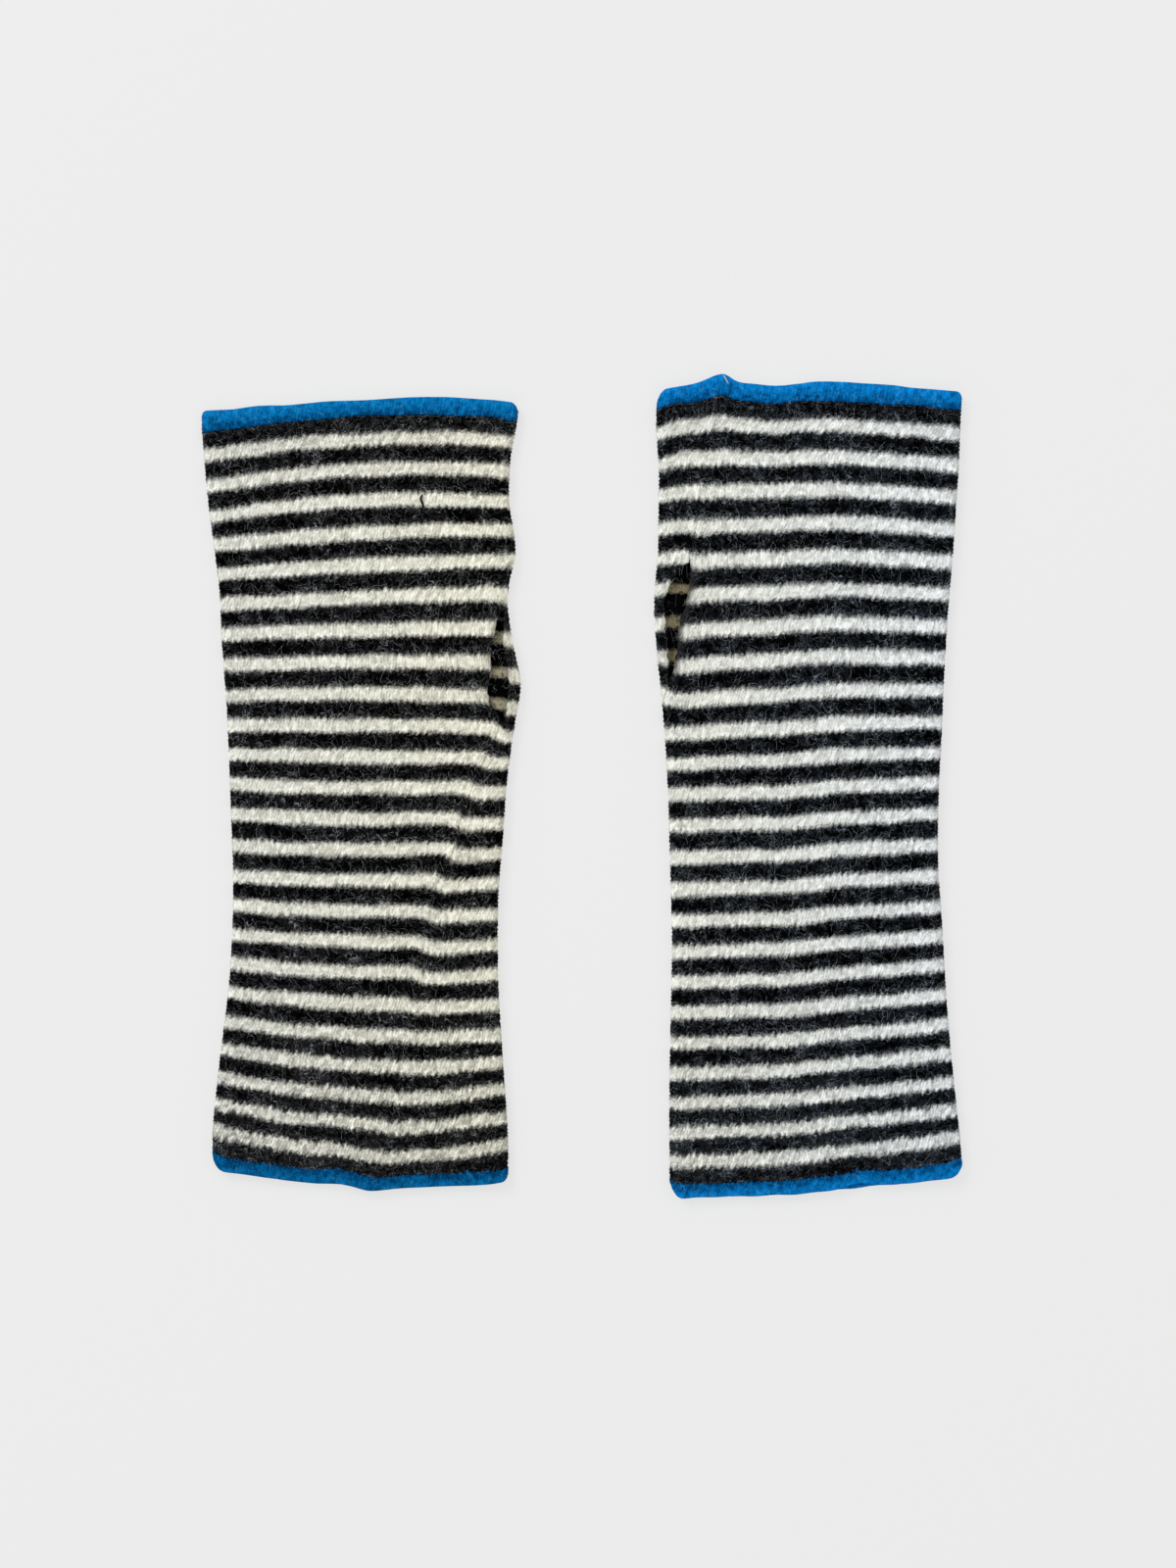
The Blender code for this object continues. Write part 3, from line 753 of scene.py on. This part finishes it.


# The right side's cooler colours are partly a painted colour cast of the light.
stripedWool = {
    "left": {
        "cream": (0.99, 0.975, 0.84),
        # creamShade: the colour of low strands and the gaps between them, partly the yarn's own
        # tone and partly painted shade
        "creamShade": (0.45, 0.442, 0.352),
        "outward": (0.97, 0.985, 1.06),  # painted colour cast of the light, cooling its colour towards the outer fold
        "charcoal": (0.0003, 0.0003, 0.0003),
        "charcoalLight": (0.0110, 0.0114, 0.0110),
        "greyFibre": (0.36, 0.37, 0.38),
        "insideCream": (0.34, 0.31, 0.21),
        "wornGaps": 0.34,  # how dark the painted shade in the gaps between strands is near both ends
    },
    "right": {
        "cream": (0.975, 0.985, 0.905),
        "creamShade": (0.46, 0.465, 0.415),
        "outward": (1.0, 1.03, 1.13),
        "charcoal": (0.0003, 0.0004, 0.0005),
        "charcoalLight": (0.0105, 0.0130, 0.0158),
        "greyFibre": (0.31, 0.35, 0.40),
        "insideCream": (0.24, 0.205, 0.115),
        "wornGaps": 0.22,
    },
    # inner side colours, here and in each side's inner cream, are darkened as painted shade
    "shadedInsideCharcoal": (0.0012, 0.0012, 0.0012),
    "blueFleck": (0.006, 0.14, 0.38),
    "fleckContrast": 9.0,
    "fleckFade": 1.7,  # how soon flecks of the wrist edging's blue end, per course
    # the painted shade where the wool rolls into the slit
    "lip": (0.02, 0.02, 0.022),
    "coolLightCastSpan": (0.035, 0.08),  # where that painted cast starts and how long it grows, in metres
    "jitter": 0.7,
    "regularity": 0.33,
    "mottled": {"Scale": 700.0, "Detail": 2.0},
    "fine": {"Scale": 1700.0, "Detail": 2.0},
    "uneven": {"Scale": 110.0, "Detail": 3.0},
    "wristWearAndShadeFrom": 56.0,  # the course below which the wrist end's stripe edges fray more, its darks get lighter and its gaps between strands get more painted shade, more and more
    "handGapShadeFrom": 172.0,  # and the course above which the hand end's gaps between strands get more painted shade
    "endWearAndShadeFade": 40.0,  # courses until it is fully so
    "raggedLower": 1.4,  # courses by which the lower edge of a cream stripe strays
    "raggedUpper": 2.2,
    "wornFray": 0.8,  # how much more they stray near the wrist
    "fuzzyEdge": 1.5,  # the finer part of both
    "lowerEdge": -0.48,  # where cream starts and ends, from the stripe's own courses
    "upperEdge": 0.27,
    "edgeSlope": 0.75,  # how fast, per course
    "edgePower": 1.5,
    "hazeReach": 1.8,  # courses from an edge over which the dark is hazy with pale wool
    "tone": {"plain": -0.05, "haze": 0.7, "mottled": 3.5, "fine": 4.0, "worn": 0.35, "uneven": 2.5},
    "fibres": {"plain": 0.45, "haze": 0.4, "uneven": 2.0},  # how well the curly ones show
    "fibreWidth": 0.013,
    "inner": {"stray": 2.0, "lowerEdge": 0.5, "upperEdge": -0.2, "patches": 2.0, "cover": 0.85},
    "bump": 0.25,
}


def stripedMaterial(side, strokesGroup, fibreGroup):
    # The course, counted from the middle of a dark stripe, picks the stripe, so its border runs
    # along the stitches. Cream is the lower of two ramps, one up over its lower edge and one down
    # over its upper edge, both moved about by noise so that they fray. Haze is 1 at an edge and
    # falls to 0 away from it.
    values, dye = stripedWool, stripedWool[side]
    material, tree, shader, position, wale, course = startWool(side + "StripedWool")
    do, mix, add = (partial(make, tree) for make in (doMath, mixColours, sumOf))
    inside = makeNode(tree, "ShaderNodeAttribute", attribute_name="inside").outputs["Fac"]
    strokes = placeStrokes(tree, strokesGroup, position, wale, course, values)
    height, ragged = strokes["Height"], strokes["Ragged"]
    noises = (strayNoise(tree, position, **values[kind]) for kind in ("mottled", "fine", "uneven"))
    mottled, fine, uneven = noises

    stripe = float(knit["stripe"])
    kept = do("MAXIMUM", do("MINIMUM", course, knit["courses"] - 1.0), 1.0)
    pair = do("FLOORED_MODULO", do("SUBTRACT", kept, stripe / 2), 2 * stripe)
    fromWrist = do("SUBTRACT", values["wristWearAndShadeFrom"], course)
    nearWrist = do("DIVIDE", fromWrist, values["endWearAndShadeFade"], clamp=True)
    fromHand = do("SUBTRACT", course, values["handGapShadeFrom"])
    nearHand = do("DIVIDE", fromHand, values["endWearAndShadeFade"], clamp=True)
    fray = add(1.0, (nearWrist, values["wornFray"]))
    frays = [do("MULTIPLY", noise, fray) for noise in (ragged, strokes["Fringe"])]
    lower = add(pair, (fine, values["fuzzyEdge"]), (frays[0], values["raggedLower"]))
    upper = add(pair, (fine, -values["fuzzyEdge"]), (frays[1], -values["raggedUpper"]))
    fromLower = do("SUBTRACT", lower, stripe / 2 + values["lowerEdge"])
    fromUpper = do("SUBTRACT", stripe * 1.5 + values["upperEdge"], upper)
    ramps = [do("MULTIPLY", way, values["edgeSlope"], clamp=True) for way in (fromLower, fromUpper)]
    isCream = do("POWER", do("MINIMUM", *ramps), values["edgePower"])

    # Low strands and the gaps between them are darker, partly by the yarn's own tone and partly as
    # painted shade; near both ends the gaps get more painted shade.
    gapShadeMix = do("MULTIPLY", do("ADD", nearWrist, nearHand), dye["wornGaps"])
    gapShadeMix = do("MULTIPLY", gapShadeMix, do("SUBTRACT", 1.0, height))
    cream = mix(height, dye["creamShade"], dye["cream"])
    cream = mix(gapShadeMix, cream, (0.0, 0.0, 0.0))

    fromMiddle = do("ABSOLUTE", do("SUBTRACT", pair, stripe))
    toEdge = do("ABSOLUTE", do("SUBTRACT", fromMiddle, stripe / 2))
    haze = do("SUBTRACT", 1.0, do("DIVIDE", toEdge, values["hazeReach"]), clamp=True)
    tone, shown, inner = values["tone"], values["fibres"], values["inner"]
    light = add(
        tone["plain"],
        (haze, tone["haze"]),
        (mottled, tone["mottled"]),
        (fine, tone["fine"]),
        (nearWrist, tone["worn"]),
        (uneven, tone["uneven"]),
        clamp=True,
    )
    charcoal = mix(light, dye["charcoal"], dye["charcoalLight"])
    fibres = placeGroup(tree, fibreGroup, Vector=position, Width=values["fibreWidth"])["Mask"]
    cover = add(shown["plain"], (haze, shown["haze"]), (uneven, shown["uneven"]))
    charcoal = mix(do("MULTIPLY", fibres, cover, clamp=True), charcoal, dye["greyFibre"])
    terms = (ragged, values["fleckContrast"]), (course, -values["fleckFade"])
    fleck = add(0.0, *terms, clamp=True)
    charcoal = mix(fleck, charcoal, values["blueFleck"])
    outside = mix(isCream, charcoal, cream)
    # Painted colour cast of the light: colours grow cooler towards the outer folds.
    across = makeNode(tree, "ShaderNodeSeparateXYZ", Vector=position).outputs["X"]
    outward = do("SUBTRACT", do("ABSOLUTE", across), values["coolLightCastSpan"][0])
    outward = do("DIVIDE", outward, values["coolLightCastSpan"][1], clamp=True)
    outside = mix(outward, outside, dye["outward"], blend="MULTIPLY")

    # The tube's inner side, seen through the slit: narrower stripes of its purl side, patchy, and
    # darkened all over as painted shade.
    strayed = add(pair, (mottled, inner["stray"]))
    innerRise = do("SUBTRACT", strayed, stripe / 2 + inner["lowerEdge"], clamp=True)
    innerFall = do("SUBTRACT", stripe * 1.5 + inner["upperEdge"], strayed, clamp=True)
    patchy = add(inner["cover"], (do("ADD", mottled, fine), inner["patches"]), clamp=True)
    innerCream = do("MULTIPLY", do("MINIMUM", innerRise, innerFall), patchy)
    shadedUnderside = mix(innerCream, values["shadedInsideCharcoal"], dye["insideCream"])
    # Painted shade: the outer side goes dark at the slit's lips, and the inner side takes its
    # painted-shade colours.
    atLip = do("MULTIPLY", inside, 2.0, clamp=True)
    under = do("MULTIPLY_ADD", inside, 2.0, -1.0, clamp=True)
    outside = mix(atLip, outside, values["lip"])
    colour = mix(under, outside, shadedUnderside)
    finishWool(tree, shader, colour, position, height, values["bump"])
    return material


blueWool = {
    # wrist: painted shade, the share of its colour that the wrist edging keeps
    "left": {"blue": (0.003, 0.215, 0.56), "blueShade": (0.0003, 0.040, 0.125), "wrist": 0.74},
    "right": {"blue": (0.003, 0.245, 0.69), "blueShade": (0.0003, 0.045, 0.150), "wrist": 0.92},
    "paleFibre": (0.05, 0.32, 0.68),
    "jitter": 0.6,
    "regularity": 0.4,
    "uneven": {"Scale": 520.0, "Detail": 3.0, "Roughness": 0.6},
    "edgeLightReach": 4.4,  # painted light: courses until it is lightest, towards the free edge
    # tone: edge is how strong the painted light towards the free edge is
    "tone": {"plain": -0.195, "edge": 0.54, "uneven": 1.5, "strands": 0.6},
    "fibreCover": 0.45,
    "fibres": 0.55,  # how well they show
    "bump": 0.55,
}


def blueMaterial(side, strokesGroup, fibreGroup):
    # A mottled blue with painted light towards the free edge and painted shade all over at the
    # wrist.
    values, dye, tone = blueWool, blueWool[side], blueWool["tone"]
    material, tree, shader, position, wale, course = startWool(side + "BlueEdging")
    do, mix = partial(doMath, tree), partial(mixColours, tree)
    height = placeStrokes(tree, strokesGroup, position, wale, course, values)["Height"]
    # Painted light, growing towards the free edge.
    pastHand = do("SUBTRACT", course, float(knit["courses"]))
    past = do("MAXIMUM", pastHand, do("MULTIPLY", course, -1.0))
    past = do("DIVIDE", past, values["edgeLightReach"], clamp=True)
    uneven = strayNoise(tree, position, **values["uneven"])
    # Low strands are darker, partly by the yarn's own tone and partly as painted shade.
    terms = ((past, tone["edge"]), (uneven, tone["uneven"]), (height, tone["strands"]))
    light = sumOf(tree, tone["plain"], *terms, clamp=True)
    blue = mix(light, dye["blueShade"], dye["blue"])
    fibres = placeGroup(tree, fibreGroup, Vector=position, Cover=values["fibreCover"])["Mask"]
    blue = mix(do("MULTIPLY", fibres, values["fibres"]), blue, values["paleFibre"])
    # Painted shade over all of the wrist edging.
    wristShadedBlue = mix(dye["wrist"], (0.0, 0.0, 0.0), blue)
    blue = mix(do("LESS_THAN", course, 0.0), blue, wristShadedBlue)
    finishWool(tree, shader, blue, position, height, values["bump"])
    return material


looseWool = {
    "grey": ((0.012, 0.013, 0.015), (0.24, 0.25, 0.275)),  # darkest and palest
    "cream": ((0.20, 0.21, 0.215), (0.46, 0.475, 0.48)),
    "fewPale": 2.0,  # the higher, the fewer of the grey ones are pale
}


def fibreMaterial():
    # Fibres that root in a cream stripe are cream. The dark ones are grey, a few of them pale.
    material, tree, shader, _, tone, course = startWool("looseFibre")
    do, mix = partial(doMath, tree), partial(mixColours, tree)
    pair = do("FLOORED_MODULO", course, 2.0 * knit["stripe"])
    overCream = do("GREATER_THAN", pair, float(knit["stripe"]))
    grey = mix(do("POWER", tone, looseWool["fewPale"]), *looseWool["grey"])
    cream = mix(tone, *looseWool["cream"])
    tree.links.new(mix(overCream, grey, cream), shader["Base Color"])
    return material


# ---- the pair ----

strokesGroup = woolStrokesGroup()
fibreGroup = curlyFibreGroup()
sides = ("left", "right")
woolMaterials = {side: stripedMaterial(side, strokesGroup, fibreGroup) for side in sides}
edgingMaterials = {side: blueMaterial(side, strokesGroup, fibreGroup) for side in sides}
hairMaterial = fibreMaterial()
print("wool dyed")

table = {"size": 6.0, "colour": 0.15, "glow": 0.672}  # the glow keeps contact shadows faint


def addTable():
    bpy.ops.mesh.primitive_plane_add(size=table["size"])
    floor = bpy.context.object
    floor.name = "table"
    material, _, shader = newMaterial("paleTable", 1.0, 0.0)
    shader["Base Color"].default_value = (table["colour"],) * 3 + (1,)
    shader["Emission Color"].default_value = (1, 1, 1, 1)
    shader["Emission Strength"].default_value = table["glow"]
    floor.data.materials.append(material)


addTable()

for warmer in (leftWarmer, rightWarmer):
    side = warmer["side"]
    bands = []
    for end in ("wrist", "hand"):
        band = edgingBand(warmer, end, edgingMaterials[side])
        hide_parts(f"{side}_{end}_band_front", f"{side}_{end}_band_back")
        bands.append(band)
    fibres = looseFibres(warmer, hairMaterial)
    panels = {}
    for panel in ("back", "front"):
        piece, girth = knitPanel(warmer, panel, woolMaterials[side])
        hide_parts(f"{side}_{panel}")
        panels[panel] = piece
        warmer[panel + "Width"] = girth
    for piece in [*bands, fibres, *panels.values()]:
        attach(piece, "root")
    print(side, "warmer knitted")

# A dark loop of yarn caught in the third cream stripe from the left warmer's hand end, and a pale
# thread end on the peak of the right one's edging. Path: course, place round the tube, height on
# the cloth. Tone: how pale it is, and a course of the stripe whose wool it has.
strayYarn = {
    "left": {
        "path": (
            (171.2, -29.6, -0.2), (172.4, -28.9, 0.15), (174.2, -29.5, 0.2), (175.3, -28.8, -0.2),
        ),
        "width": 0.75,
        "tone": (0.0, 0.0),
    },
    "right": {
        "path": (
            (200.2, -22.2, -0.1), (199.7, -22.7, 0.12), (199.2, -23.4, 0.15), (198.7, -24, -0.1),
        ),
        "width": 0.4,
        "tone": (1.0, 15.0),
    },
}
for warmer in (leftWarmer, rightWarmer):
    side = warmer["side"]
    stray = threadAlong(f"{side}_stray_yarn", warmer, hairMaterial, **strayYarn[side])
    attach(stray, "root")

# ---- light and camera ----

studio = {
    "sky": 0.83,
    "keyPower": 26.0,
    "keySize": 0.9,
    "keyPlace": (-1.2, 1.3, 1.6),
    "cameraHeight": 1.5,
    "topOfCloth": 0.004,
    "frameHeight": 0.520,  # what the camera sees at that height
    "lookAt": (0.00195, 0.0008),
}


def addLights():
    world = bpy.data.worlds.new("studio")
    bpy.context.scene.world = world
    world.use_nodes = True
    background = world.node_tree.nodes["Background"].inputs
    background["Color"].default_value = (1, 1, 1, 1)
    background["Strength"].default_value = studio["sky"]
    data = bpy.data.lights.new("key", "AREA")
    data.energy = studio["keyPower"]
    data.size = studio["keySize"]
    key = bpy.data.objects.new("key", data)
    key.location = studio["keyPlace"]
    direction = -key.location
    key.rotation_euler = direction.to_track_quat("-Z", "Y").to_euler()
    bpy.context.scene.collection.objects.link(key)


def addCamera():
    data = bpy.data.cameras.new("camera")
    data.sensor_width = 36.0
    distance = studio["cameraHeight"] - studio["topOfCloth"]
    data.lens = data.sensor_width * distance / studio["frameHeight"]
    camera = bpy.data.objects.new("camera", data)
    camera.location = (*studio["lookAt"], studio["cameraHeight"])
    bpy.context.scene.collection.objects.link(camera)
    bpy.context.scene.camera = camera


addLights()
addCamera()
bpy.context.scene.view_settings.view_transform = "Standard"
print("light and camera set")
